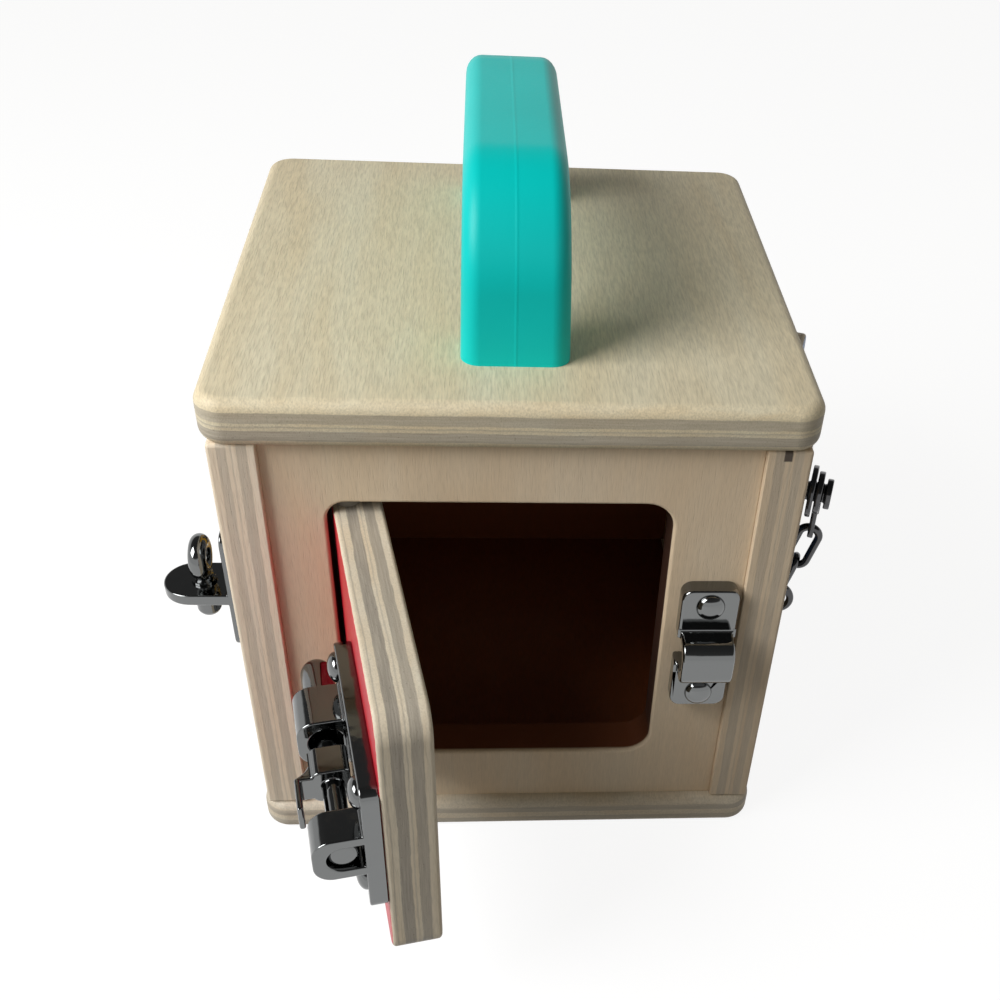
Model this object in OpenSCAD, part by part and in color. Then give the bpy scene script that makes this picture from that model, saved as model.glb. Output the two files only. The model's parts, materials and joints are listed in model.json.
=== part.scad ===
// Wooden lock box: a plywood cube with a door in each wall, every door held by a latch of its own,
// and a moulded carrying handle on top. Millimetres, +Z up, origin at the middle of the underside.
// The front door stands wide open and its bolt is drawn back, the right door is ajar,
// the left and the back door are shut and unlatched.

/* [Box] */
// Outer width over the side walls
box_w = 140; // [134:1:150]
// Depth of the side walls
box_d = 141; // [135:1:151]
// Height of the walls
wall_h = 121; // [119:1:130]
// Thickness of the side walls
side_t = 11; // [10.5:0.5:12]
// Thickness of the front and back walls
panel_t = 11.5; // [11:0.5:12.5]
// Thickness of the base plate
base_t = 10; // [9:0.5:13]
// Thickness of the top plate
top_t = 12; // [10:0.5:15]
// How far the top plate stands past the walls
top_overhang = 1.7; // [0:0.1:4]
// How far the base plate stands past the walls
base_overhang = 1.6; // [0:0.1:4]
// Rounding of the plates' corners, seen from above
plate_corner_r = 7; // [6.5:0.5:12]
// Rounding along the plates' edges
plate_edge_r = 3; // [1:0.25:3]
// Rounding of the side walls' upright edges
wall_edge_r = 1.2; // [0.6:0.1:2.5]
// How far the front and back walls lie behind the side walls' edges
panel_recess = 2; // [0:0.5:4]

/* [Doorways and doors] */
// Width of the stile on the hinge side, from the box corner
hinge_stile_w = 25; // [24:0.5:28]
// Height of each doorway
open_h = 86; // [82:0.5:88]
// Width of the stile on the latch side, from the box corner
stile_w = 31; // [30:0.1:34]
// Height of the rail under the doorway
sill_h = 18; // [16:0.5:20]
// Corner rounding of a doorway on the latch side
open_r = 7; // [4:0.5:9]
// Corner rounding of a doorway on the hinge side
open_hinge_r = 5; // [4:0.25:5]
// Thickness of a door
door_t = 12; // [11:0.2:12.4]
// How far a shut door lies behind its wall's face
door_recess = 2.5; // [1.5:0.1:2.6]
// Gap between door and jamb on the hinge side
hinge_gap = 0.6; // [0.5:0.1:1.2]
// Gap between door and jamb on the latch side
latch_gap = 1.5; // [1:0.1:2.5]
// Gap above and below a door
rail_gap = 3.5; // [3:0.25:4]
// Corner rounding of a door on the latch side
door_r = 7; // [4:0.5:10]
// Corner rounding of a door on the hinge side
door_hinge_r = 4; // [3:0.25:4]
// Distance of the pivot from the door's hinge edge and from its painted face
pivot_in = 4; // [3.5:0.1:4.5]
// Angle at which the front door stands open
front_angle = 78.8; // [60:0.1:88]
// Angle at which the right door stands ajar
right_angle = 18.5; // [0:0.5:40]
// Diameter of the pivot pins
pin_d = 3; // [2.5:0.1:3.2]
// Length of a pivot pin inside the door
pin_hold = 10; // [6:0.5:16]
// Diameter of the pivot washers
washer_d = 6.5; // [5.5:0.25:7]

/* [Handle] */
// Length of the handle over its feet
handle_l = 109; // [98:1:114]
// Height of the handle above the top plate
handle_h = 42.5; // [38:0.5:50]
// Width of the handle at its feet
handle_w = 25.8; // [22:0.2:30]
// Thickness of the bar, from outer to inner side
handle_bar = 15; // [12:0.5:18]
// Outer radius of the two shoulders
handle_bend_r = 25; // [20:0.5:28]
// Rounding of the bar's edges
handle_edge_r = 4.5; // [2:0.25:5.5]
// Draft of the two sides, in degrees
handle_draft = 1.4; // [0:0.1:2]
// Diameter of the handle screws
handle_screw_d = 4.2; // [3.5:0.1:5]
// Length of a handle screw inside the handle
handle_screw_hold = 14; // [8:0.5:18]

/* [Slide bolt] */
// Length of the bolt plate
bolt_plate_l = 51; // [50:0.5:54]
// Height of the bolt plate
bolt_plate_h = 39; // [36:0.5:44]
// Thickness of the bolt plate
bolt_plate_t = 4.2; // [3:0.1:4.4]
// Diameter of the bolt's tail
rod_d = 8.2; // [7.4:0.1:8.4]
// Diameter of the bolt's nose
nose_d = 7.2; // [6.4:0.1:7.4]
// Diameter of the slim neck
neck_d = 5.2; // [4.5:0.1:6]
// Height of the rod's axis above the door's face
rod_lift = 8.7; // [8.7:0.1:9.4]
// Wall of the loop and the barrel round the rod
loop_wall = 2.6; // [2:0.1:3]
// Length of the front loop
loop_l = 9.5; // [8:0.5:10]
// Length of the rear barrel
barrel_l = 13; // [11:0.5:13.5]
// How far the plate reaches past the barrel
barrel_back = 2; // [1:0.25:2.5]
// Travel of the bolt
bolt_travel = 12; // [9:0.5:12]
// Length of the tail behind the plate when the bolt is drawn back
tail_l = 13; // [13:0.5:16]
// Length of the slider block
slider_l = 8.5; // [7:0.5:10]
// How far the thumb tab's tip stands in front of the slider block
tab_l = 8.5; // [5:0.5:9]

/* [Keeper] */
// Width of the keeper
keeper_w = 15; // [13:0.5:16]
// Height of the keeper
keeper_h = 40; // [37:0.5:44]
// Thickness of the keeper's flanges
keeper_t = 5; // [3:0.25:5]
// Distance from the doorway's edge to the keeper
keeper_edge = 3.5; // [3.5:0.1:5]
// Spare room round the bolt's nose in the keeper
keeper_play = 0.5; // [0.3:0.1:1]

/* [Swivel hasp] */
// Width of the staple bracket and of its lug
staple_w = 14.8; // [14:0.2:16]
// Height of the bracket's plate
staple_h = 36.5; // [32:0.5:40]
// Thickness of the bracket's plate
staple_t = 5; // [4:0.1:5]
// Reach of the lug from the wall
lug_reach = 22.5; // [21:0.5:24]
// Thickness of the lug
lug_t = 3.2; // [2.5:0.1:3.5]
// Height of the lug's top above the doorway's middle
lug_up = 3.5; // [2:0.5:5]
// Distance of the swivel eye from the wall
eye_out = 12; // [11.5:0.1:12]
// Wire diameter of the swivel eye
eye_wire = 4.6; // [3.5:0.1:4.6]
// Outer diameter of the swivel eye
eye_d = 12.4; // [11:0.1:12.6]
// Height of the eye's top above the lug
eye_up = 13.7; // [13.7:0.1:15]
// Thickness of the hasp arm
arm_t = 2.2; // [1.5:0.1:2.2]
// Height of the hasp arm's bar
arm_h = 7.4; // [6.6:0.2:8]
// Distance from the hasp arm's pivot to the eye
arm_l = 30.5; // [26:0.5:34]
// Width of the fork that drops over the eye's neck
fork_w = 7.4; // [7.2:0.1:7.6]

/* [Chain lock] */
// Wire diameter of the chain
link_wire = 2.5; // [2:0.1:2.6]
// Inner width of a link
link_gap = 3.8; // [3.6:0.1:4]
// Inner length of a link
link_pitch = 13; // [11:0.25:13]
// Outer diameter of the end ring
ring_d = 12; // [11.5:0.5:12.5]
// Length of the track's plate
track_l = 60; // [58:0.5:62]
// Height of the track
track_h = 16; // [15:0.25:16.5]
// Height of the track over the door's face
track_out = 9; // [8.5:0.25:9.5]
// Distance of the slider from the right door's pivot
slider_at = 43; // [40:0.5:48]
// Height of the track's middle above the doorway's middle
track_up = 4; // [2:0.5:8]
// Diameter of the slider's lower disc
foot_d = 16; // [14:0.5:16.5]
// Diameter of the slider's button
button_d = 13; // [11:0.5:13.5]
// Lean of the hanging chain towards the door, in degrees
chain_lean = 14; // [8:1:14]

/* [Turn button] */
// Length of the turn button from its screw to its tip
turn_l = 24; // [20:0.5:26]
// Width of the turn button
turn_w = 10; // [8:0.5:11]
// Thickness of the turn button
turn_t = 5; // [3:0.25:6]

/* [Fasteners] */
// Shank diameter of the small screws
screw_d = 3; // [2.5:0.1:3.2]
// Head diameter of the small screws
screw_head_d = 7.5; // [6:0.1:7.6]
// Head height of the small screws
screw_head_h = 2.2; // [1.5:0.1:2.4]
// Length of a small screw in the wood
screw_hold = 7.5; // [5:0.25:8]
// Diameter of the glued dowels
dowel_d = 6; // [5:0.25:6.5]
// Length of a dowel in the wall
dowel_hold = 9; // [6:0.5:10]

/* [Hidden] */
$fn = 64;

// Colours
ply = [0.84, 0.75, 0.60];
dowel_wood = [0.72, 0.60, 0.44];
teal = [0.13, 0.77, 0.69];
red = [0.80, 0.14, 0.18];
yellow = [0.93, 0.73, 0.22];
blue = [0.20, 0.45, 0.70];
green = [0.36, 0.62, 0.36];
chrome = [0.62, 0.63, 0.65];
steel = [0.55, 0.56, 0.58];
nylon = [0.92, 0.92, 0.90];

// Clearances: pressed, running, and plain room between moving pieces
press = 0.02;
run = 0.1;
room = 0.3;

// Walls: 0 front, 1 left, 2 back, 3 right. Each is worked on in a frame of its own, seen from
// outside: x to the right, y inwards, z up, with the wall's face at y = -face(side).
FRONT = 0;
LEFT = 1;
BACK = 2;
RIGHT = 3;
function is_panel(side) = side == FRONT || side == BACK;
function face(side) = is_panel(side) ? box_d / 2 - panel_recess : box_w / 2;
function thick(side) = is_panel(side) ? panel_t : side_t;
function half_run(side) = is_panel(side) ? box_w / 2 : box_d / 2;
function open_x1(side) = half_run(side) - stile_w;
function open_x0(side) = hinge_stile_w - half_run(side);
function open_w(side) = open_x1(side) - open_x0(side);
function pivot_x(side) = open_x0(side) + hinge_gap + pivot_in;
function pivot_y(side) = -face(side) + door_recess + pivot_in;
function free_x(side) = open_x1(side) - latch_gap;
function swing(side) = side == FRONT ? front_angle : side == RIGHT ? right_angle : 0;

wall_top = base_t + wall_h;
plate_top = wall_top + top_t;
open_z0 = base_t + sill_h;
open_z1 = open_z0 + open_h;
door_z0 = open_z0 + rail_gap;
door_h = open_h - 2 * rail_gap;
latch_z = (open_z0 + open_z1) / 2;
panel_w = box_w - 2 * side_t;

// The frame of one wall.
module on_side(side) {
  rotate([0, 0, -90 * side])
    children();
}

// A spot on a wall's face: x to the right, y up, z outwards.
module on_face(side, x, z) {
  on_side(side)
    translate([x, -face(side), z])
      rotate([90, 0, 0])
        children();
}

// The frame of one door, turned about its pins from shut to where it stands.
module on_door(side) {
  on_side(side)
    translate([pivot_x(side), pivot_y(side), 0])
      rotate([0, 0, -swing(side)])
        translate([-pivot_x(side), -pivot_y(side), 0])
          children();
}

// A spot on a door's painted face: x to the right, y up, z outwards.
module on_door_face(side, x, z) {
  on_door(side)
    translate([x, -face(side) + door_recess, z])
      rotate([90, 0, 0])
        children();
}

// Shapes used by several pieces

module rounded_rect(w, h, r) {
  square([w - 2 * r, h], center = true);
  square([w, h - 2 * r], center = true);
  for (x = [-1, 1], y = [-1, 1])
    translate([x * (w / 2 - r), y * (h / 2 - r)])
      circle(r);
}

// A rectangle with one rounding on its two left corners and another on its two right ones.
module two_radius_rect(w, h, left_r, right_r) {
  translate([-w / 2 + left_r, -h / 2])
    square([w - left_r - right_r, h]);
  translate([-w / 2, -h / 2 + left_r])
    square([w / 2, h - 2 * left_r]);
  translate([0, -h / 2 + right_r])
    square([w / 2, h - 2 * right_r]);
  for (y = [-1, 1]) {
    translate([-w / 2 + left_r, y * (h / 2 - left_r)])
      circle(left_r);
    translate([w / 2 - right_r, y * (h / 2 - right_r)])
      circle(right_r);
  }
}

// Outer band of a slab, seen in section: rounded at its outer end.
module slab_edge(reach, t, r) {
  square([reach - r, t]);
  translate([0, r])
    square([reach, t - 2 * r]);
  for (z = [r, t - r])
    translate([reach - r, z])
      circle(r);
}

// A slab with rounded plan corners and rounded edges.
module rounded_slab(w, d, t, corner, edge) {
  translate([-w / 2 + corner, -d / 2 + corner, 0])
    cube([w - 2 * corner, d - 2 * corner, t]);
  for (turn = [0, 180]) {
    rotate([0, 0, turn])
      translate([w / 2 - corner, d / 2 - corner, 0])
        rotate([90, 0, 0])
          linear_extrude(d - 2 * corner)
            slab_edge(corner, t, edge);
    rotate([0, 0, turn + 90])
      translate([d / 2 - corner, w / 2 - corner, 0])
        rotate([90, 0, 0])
          linear_extrude(w - 2 * corner)
            slab_edge(corner, t, edge);
  }
  for (x = [-1, 1], y = [-1, 1])
    translate([x * (w / 2 - corner), y * (d / 2 - corner), 0])
      rotate([0, 0, x > 0 ? (y > 0 ? 0 : 270) : (y > 0 ? 90 : 180)])
        rotate_extrude(angle = 90)
          slab_edge(corner, t, edge);
}

// Low dome of a screw or rivet head, flat side down.
module dome(d, h) {
  ball_r = (h * h + d * d / 4) / (2 * h);
  intersection() {
    translate([0, 0, h - ball_r])
      sphere(ball_r);
    cylinder(d = d, h = h);
  }
}

// A domed wood screw, head seated at z = 0, shank below.
module wood_screw(length) {
  dome(screw_head_d, screw_head_h);
  translate([0, 0, -length])
    cylinder(d = screw_d, h = length);
}

// The hole that a wood screw is driven into.
module pilot(length) {
  translate([0, 0, -length])
    cylinder(d = screw_d + 2 * press, h = length + 1);
}

// A closed ring of round wire lying flat.
module wire_ring(outer_d, wire) {
  rotate_extrude()
    translate([outer_d / 2 - wire / 2, 0])
      circle(d = wire);
}

// Box carcass

// Where the dowels stand along a wall, either side of its middle.
function dowel_x(side) = is_panel(side) ? panel_w / 2 - dowel_d - 2 : half_run(side) - 2 * dowel_d;
base_hold = base_t * 0.65;
top_hold = top_t * 0.6;

module dowel_row(side, z, length, d) {
  for (s = [-1, 1])
    on_side(side)
      translate([s * dowel_x(side), -face(side) + thick(side) / 2, z])
        cylinder(d = d, h = length);
}

module base_dowels() {
  color(dowel_wood)
    for (side = [FRONT, LEFT, BACK, RIGHT])
      dowel_row(side, base_t - base_hold, base_hold + dowel_hold, dowel_d);
}

module top_dowels() {
  color(dowel_wood)
    for (side = [FRONT, LEFT, BACK, RIGHT])
      dowel_row(side, wall_top - dowel_hold, dowel_hold + top_hold, dowel_d);
}

module base_dowel_holes(side) {
  dowel_row(side, base_t - base_hold - press, base_hold + dowel_hold + 2 * press, dowel_d + 2 * press);
}

module top_dowel_holes(side) {
  dowel_row(side, wall_top - dowel_hold - press, dowel_hold + top_hold + 2 * press, dowel_d + 2 * press);
}

module base_plate() {
  color(ply)
    difference() {
      rounded_slab(box_w + 2 * base_overhang, box_d + 2 * base_overhang, base_t,
                   plate_corner_r, plate_edge_r);
      for (side = [FRONT, LEFT, BACK, RIGHT])
        base_dowel_holes(side);
    }
}

foot_y = handle_l / 2 - handle_bar / 2;
screw_cone_h = 3;
screw_cone_d = 8.4;

module top_plate() {
  color(ply)
    difference() {
      translate([0, 0, wall_top])
        rounded_slab(box_w + 2 * top_overhang, box_d + 2 * top_overhang, top_t,
                     plate_corner_r, plate_edge_r);
      for (side = [FRONT, LEFT, BACK, RIGHT])
        top_dowel_holes(side);
      for (s = [-1, 1])
        translate([0, s * foot_y, wall_top])
          handle_screw_shape(press, 1);
    }
}

// Doorway through a wall, with its pin holes and the seats of the pivot washers.
module doorway(side) {
  on_side(side) {
    translate([(open_x0(side) + open_x1(side)) / 2, -face(side) + thick(side) + 1, latch_z])
      rotate([90, 0, 0])
        linear_extrude(thick(side) + 2)
          two_radius_rect(open_w(side), open_h, open_hinge_r, open_r);
    translate([pivot_x(side), pivot_y(side), base_t - 1])
      cylinder(d = pin_d + 2 * press, h = wall_h + 2);
    translate([pivot_x(side), pivot_y(side), open_z0])
      cylinder(d = washer_d + 2 * room, h = open_h);
  }
}

module side_wall(side) {
  difference() {
    on_side(side)
      translate([0, -face(side) + side_t / 2, base_t])
        linear_extrude(wall_h)
          rounded_rect(box_d, side_t, wall_edge_r);
    doorway(side);
    base_dowel_holes(side);
    top_dowel_holes(side);
    latch_pilots(side);
  }
}

module panel_wall(side) {
  difference() {
    on_side(side)
      translate([-panel_w / 2, -face(side), base_t])
        cube([panel_w, panel_t, wall_h]);
    doorway(side);
    base_dowel_holes(side);
    top_dowel_holes(side);
    latch_pilots(side);
  }
}

// Screw holes of the latch half that sits on the wall's stile.
module latch_pilots(side) {
  if (side == FRONT)
    for (s = [-1, 1])
      on_face(FRONT, keeper_x, latch_z + s * keeper_screw_y)
        pilot(screw_hold);
  if (side == LEFT)
    for (s = [-1, 1])
      on_face(LEFT, staple_x, staple_z + s * staple_screw_y)
        pilot(screw_hold);
  if (side == RIGHT)
    on_face(RIGHT, peg_x, track_z)
      pilot(screw_hold);
  if (side == BACK)
    on_face(BACK, turn_x, latch_z)
      pilot(screw_hold);
}

module left_wall() {
  color(ply)
    side_wall(LEFT);
}

module right_wall() {
  color(ply)
    side_wall(RIGHT);
}

module front_wall() {
  color(ply)
    panel_wall(FRONT);
}

module back_wall() {
  color(ply)
    panel_wall(BACK);
}

// Handle: a rounded bar swept along an arch, a little narrower at the top than at its feet.

handle_corner_steps = 6;
handle_bend_steps = 10;
handle_mid_r = handle_bend_r - handle_bar / 2;

// The arch's middle line as [y, z, lean], from the front foot to the back foot.
function arch_path() = concat(
  [[-foot_y, 0, 0]],
  [for (i = [0 : handle_bend_steps])
    let (a = 90 * i / handle_bend_steps)
    [-foot_y + handle_mid_r * (1 - cos(a)), handle_h - handle_bend_r + handle_mid_r * sin(a), a]],
  [for (i = [0 : handle_bend_steps])
    let (a = 90 + 90 * i / handle_bend_steps)
    [foot_y - handle_mid_r * (1 + cos(a)), handle_h - handle_bend_r + handle_mid_r * sin(a), a]],
  [[foot_y, 0, 180]]
);

// One section of the bar as [across, outwards], where outwards is away from the arch's inside.
function bar_section(half_w, half_t, r) = [
  for (quarter = [0 : 3], i = [0 : handle_corner_steps])
    let (a = 90 * quarter + 90 * i / handle_corner_steps,
         sx = quarter == 0 || quarter == 3 ? 1 : -1,
         sy = quarter < 2 ? 1 : -1)
    [sx * (half_w - r) + r * cos(a), sy * (half_t - r) + r * sin(a)]
];

function swept_point(p, q) =
  let (z = p[1] + q[1] * sin(p[2]))
  [q[0] * (1 - 2 * z * tan(handle_draft) / handle_w), p[0] - q[1] * cos(p[2]), z];

module handle_sweep() {
  path = arch_path();
  ring = bar_section(handle_w / 2, handle_bar / 2, handle_edge_r);
  n = len(ring);
  last = len(path) - 1;
  points = [for (p = path, q = ring) swept_point(p, q)];
  sides = [for (k = [0 : last - 1], i = [0 : n - 1], part = [0, 1])
    let (j = (i + 1) % n, a = k * n + i, b = k * n + j, c = a + n, d = b + n)
    part == 0 ? [a, b, c] : [b, d, c]];
  start_cap = [[for (i = [n - 1 : -1 : 0]) i]];
  end_cap = [[for (i = [0 : n - 1]) last * n + i]];
  polyhedron(points, concat(sides, start_cap, end_cap));
}

module handle() {
  color(teal)
    difference() {
      translate([0, 0, plate_top])
        handle_sweep();
      for (s = [-1, 1])
        translate([0, s * foot_y, plate_top - 1])
          cylinder(d = handle_screw_d + 2 * press, h = handle_screw_hold + 1 + press);
    }
}

// A countersunk screw, its head flush at z = 0, pointing up; below is extra length for cutting.
module handle_screw_shape(grow, below) {
  cylinder(d1 = screw_cone_d + 2 * grow, d2 = handle_screw_d + 2 * grow, h = screw_cone_h);
  translate([0, 0, -below])
    cylinder(d = handle_screw_d + 2 * grow, h = top_t + handle_screw_hold + below);
}

module handle_screws() {
  color(steel)
    for (s = [-1, 1])
      translate([0, s * foot_y, wall_top])
        handle_screw_shape(0, 0);
}

// Doors, their pins and washers

module door_blank(side) {
  door_w = open_w(side) - hinge_gap - latch_gap;
  x0 = open_x0(side) + hinge_gap;
  on_door(side)
    difference() {
      intersection() {
        translate([x0, -face(side) + door_recess, door_z0])
          linear_extrude(door_h) {
            translate([pivot_in, pivot_in])
              circle(pivot_in);
            translate([pivot_in, 0])
              square([door_w - pivot_in, door_t]);
            translate([0, pivot_in])
              square([door_w, door_t - pivot_in]);
          }
        translate([x0 + door_w / 2, -face(side) + door_recess + door_t + 1, latch_z])
          rotate([90, 0, 0])
            linear_extrude(door_t + 2)
              two_radius_rect(door_w, door_h, door_hinge_r, door_r);
      }
      for (z = [door_z0 - 1, door_z0 + door_h - pin_hold - run])
        translate([pivot_x(side), pivot_y(side), z])
          cylinder(d = pin_d + 2 * run, h = pin_hold + 1 + run);
    }
}

module door_pins(side) {
  on_side(side)
    for (z = [[base_t, door_z0 + pin_hold], [door_z0 + door_h - pin_hold, wall_top]])
      translate([pivot_x(side), pivot_y(side), z[0]])
        cylinder(d = pin_d, h = z[1] - z[0]);
}

module door_washers(side) {
  on_side(side)
    for (z = [open_z0, open_z1 - rail_gap + run])
      translate([pivot_x(side), pivot_y(side), z])
        difference() {
          cylinder(d = washer_d, h = rail_gap - run);
          translate([0, 0, -1])
            cylinder(d = pin_d + 2 * press, h = rail_gap + 2);
        }
}

module front_door() {
  color(red)
    difference() {
      door_blank(FRONT);
      for (p = bolt_screw_places)
        on_door_face(FRONT, free_x(FRONT) - p[0], latch_z + p[1])
          pilot(screw_hold);
    }
}

module front_door_pins() {
  color(steel)
    door_pins(FRONT);
}

module front_door_washers() {
  color(nylon)
    door_washers(FRONT);
}

module left_door() {
  color(yellow)
    difference() {
      door_blank(LEFT);
      for (y = [-1, 1])
        on_door_face(LEFT, hasp_x, hasp_z + y * hasp_screw_y)
          pilot(screw_hold);
    }
}

module left_door_pins() {
  color(steel)
    door_pins(LEFT);
}

module left_door_washers() {
  color(nylon)
    door_washers(LEFT);
}

module right_door() {
  color(blue)
    difference() {
      door_blank(RIGHT);
      for (s = [-1, 1])
        on_door_face(RIGHT, track_x + s * track_screw_x, track_z)
          pilot(screw_hold);
    }
}

module right_door_pins() {
  color(steel)
    door_pins(RIGHT);
}

module right_door_washers() {
  color(nylon)
    door_washers(RIGHT);
}

module back_door() {
  color(green)
    door_blank(BACK);
}

module back_door_pins() {
  color(steel)
    door_pins(BACK);
}

module back_door_washers() {
  color(nylon)
    door_washers(BACK);
}

// Slide bolt, on the front door. x runs along the bolt with 0 at the door's free edge,
// y up from the bolt's axis, z out from the door's face.

loop_half = nose_d / 2 + run + loop_wall;
loop_top = rod_lift + rod_d / 2 + run + loop_wall;
loop_corner_r = 4.5;
plate_r = 3;
bolt_screw_in = 6.5;
bolt_screw_end = 4.2;
bolt_screw_edge = 5.7;
bolt_screw_y = bolt_plate_h / 2 - bolt_screw_edge;
bolt_screw_places = [for (x = [bolt_screw_in, bolt_plate_l - bolt_screw_end], y = [-bolt_screw_y, bolt_screw_y])
  [x, y]];
barrel_end = bolt_plate_l - barrel_back;

// Section of a loop standing on the face: a block with two rounded outer corners.
module loop_section(half, top, corner) {
  translate([-half, 0])
    square([2 * half, top - corner]);
  translate([-half + corner, 0])
    square([2 * (half - corner), top]);
  for (s = [-1, 1])
    translate([s * (half - corner), top - corner])
      circle(corner);
}

// Section of the passage for the rod: round outside, open towards the face.
module passage_section(half, lift) {
  translate([-half, 0])
    square([2 * half, lift]);
  translate([0, lift])
    circle(half);
}

// Turns a section drawn as [y, z] into a bar along x that ends at x = 0.
module along_x(length) {
  translate([-length, 0, 0])
    rotate([90, 0, 90])
      linear_extrude(length)
        children();
}

module bolt_plate() {
  color(chrome)
    on_door_face(FRONT, free_x(FRONT), latch_z)
      difference() {
        union() {
          translate([-bolt_plate_l / 2, 0, 0])
            linear_extrude(bolt_plate_t)
              rounded_rect(bolt_plate_l, bolt_plate_h, plate_r);
          along_x(loop_l)
            loop_section(loop_half, loop_top, loop_corner_r);
          translate([-barrel_end + barrel_l, 0, 0])
            along_x(barrel_l)
              loop_section(rod_d / 2 + run + loop_wall, loop_top, loop_corner_r);
        }
        translate([1, 0, bolt_plate_t])
          along_x(loop_l + 1.5)
            passage_section(nose_d / 2 + run, rod_lift - bolt_plate_t);
        translate([-barrel_end - 1, 0, rod_lift])
          rotate([0, 90, 0])
            cylinder(d = rod_d + 2 * run, h = barrel_l + 2);
        for (p = bolt_screw_places)
          translate([-p[0], p[1], -1])
            cylinder(d = screw_d + 2 * run, h = bolt_plate_t + 2);
      }
}

// Places along the rod, as distances back from the free edge
rod_nose = 1;
nose_l = loop_l + 1.5;
slider_front = loop_l + bolt_travel + 0.5;
rod_tail = bolt_plate_l + tail_l;
shank_front = barrel_end - barrel_l / 2;
slider_h = 9.6;
slider_low = bolt_plate_t + room;
tab_low = loop_top + room;
tab_top = tab_low + 1.4;
tab_w = 7;
slider_high = rod_lift + 4.6;

// A round length of the rod between two places.
module rod_length(from, to, d) {
  translate([-to, 0, rod_lift])
    rotate([0, 90, 0])
      cylinder(d = d, h = to - from);
}

// Slider block and thumb tab, seen from the side: the tab flares forward over the loop.
module slider_profile() {
  translate([-slider_front - slider_l, slider_low])
    square([slider_l, slider_high - slider_low]);
  difference() {
    translate([-slider_front - slider_l + 2, slider_high - 1])
      square([slider_l - 2 + tab_l, tab_top - slider_high + 1]);
    translate([-slider_front, slider_high - 2])
      square([tab_l + 1, tab_low - slider_high + 2]);
    translate([-slider_front - slider_l + 2, slider_high + 6])
      circle(6);
  }
}

module bolt_rod() {
  color(chrome)
    on_door_face(FRONT, free_x(FRONT), latch_z) {
      difference() {
        rod_length(rod_nose, rod_nose + nose_l, nose_d);
        translate([-rod_nose, 0, rod_lift])
          rotate([0, 90, 0])
            rotate_extrude()
              translate([nose_d / 2, 0])
                rotate([0, 0, 45])
                  square(1.2, center = true);
      }
      rod_length(rod_nose + nose_l, shank_front, neck_d);
      rod_length(shank_front, rod_tail - rod_d / 2, rod_d);
      translate([-rod_tail + rod_d / 2, 0, rod_lift])
        sphere(d = rod_d);
      intersection() {
        translate([0, slider_h / 2, 0])
          rotate([90, 0, 0])
            linear_extrude(slider_h)
              slider_profile();
        union() {
          translate([0, 0, rod_lift])
            along_x(slider_front + slider_l + 1)
              rounded_rect(slider_h, 2 * (slider_high - rod_lift), 2);
          translate([0, 0, slider_high - 3])
            along_x(slider_front + slider_l + 1)
              translate([-tab_w / 2, 0])
                square([tab_w, tab_top - slider_high + 4]);
        }
      }
    }
}

module bolt_screws() {
  color(chrome)
    for (p = bolt_screw_places)
      on_door_face(FRONT, free_x(FRONT) - p[0], latch_z + p[1])
        translate([0, 0, bolt_plate_t])
          wood_screw(bolt_plate_t + screw_hold - 0.5);
}

// Keeper: a strap casting with two flanges; the rod's nose slides into its loop.

keeper_x = open_x1(FRONT) + keeper_edge + keeper_w / 2;
keeper_lift = rod_lift - door_recess;
keeper_half = nose_d / 2 + keeper_play;
keeper_loop_w = keeper_w - 1.4;
keeper_top = keeper_lift + keeper_half + loop_wall;
keeper_screw_y = keeper_h / 2 - 5;

module bolt_keeper() {
  color(chrome)
    on_face(FRONT, keeper_x, latch_z)
      difference() {
        union() {
          linear_extrude(keeper_t)
            rounded_rect(keeper_w, keeper_h, plate_r);
          translate([keeper_loop_w / 2, 0, 0])
            along_x(keeper_loop_w)
              loop_section(keeper_half + loop_wall, keeper_top, loop_corner_r);
        }
        translate([keeper_w / 2 + 1, 0, -1])
          along_x(keeper_w + 2)
            passage_section(keeper_half, keeper_lift + 1);
        for (s = [-1, 1])
          translate([0, s * keeper_screw_y, -1])
            cylinder(d = screw_d + 2 * run, h = keeper_t + 2);
      }
}

module keeper_screws() {
  color(chrome)
    for (s = [-1, 1])
      on_face(FRONT, keeper_x, latch_z + s * keeper_screw_y)
        translate([0, 0, keeper_t])
          wood_screw(keeper_t + screw_hold - 0.5);
}

// Swivel hasp: a bracket with a lug and a turning eye on the left wall, a forked arm on its door.

staple_x = open_x1(LEFT) + 1 + staple_w / 2;
lug_top = latch_z + lug_up;
staple_z = lug_top + 0.3;
staple_screw_y = staple_h / 2 - 5;
flat_head_d = 6.4;
flat_head_h = 2;
eye_neck_d = 5;
collar_d = 6.6;
collar_h = 0.6;
eye_nut_d = 6.4;
eye_nut_h = 6;
eye_nut_dome = 2.4;

module hasp_staple() {
  color(chrome)
    difference() {
      union() {
        on_face(LEFT, staple_x, staple_z)
          linear_extrude(staple_t)
            rounded_rect(staple_w, staple_h, plate_r);
        on_side(LEFT)
          translate([staple_x, -face(LEFT), lug_top - lug_t])
            linear_extrude(lug_t) {
              translate([-staple_w / 2, -lug_reach + staple_w / 2])
                square([staple_w, lug_reach - staple_w / 2]);
              translate([0, -lug_reach + staple_w / 2])
                circle(d = staple_w);
            }
      }
      for (s = [-1, 1])
        on_face(LEFT, staple_x, staple_z + s * staple_screw_y) {
          translate([0, 0, -1])
            cylinder(d = screw_d + 2 * run, h = staple_t + 2);
          translate([0, 0, staple_t - flat_head_h - run])
            cylinder(d1 = screw_d + 2 * run, d2 = flat_head_d + 2 * run, h = flat_head_h);
          translate([0, 0, staple_t - run])
            cylinder(d = flat_head_d + 2 * run, h = 1);
        }
      on_side(LEFT)
        translate([staple_x, -face(LEFT) - eye_out, lug_top - lug_t - 1])
          cylinder(d = eye_neck_d + 2 * run, h = lug_t + 2);
    }
}

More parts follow.
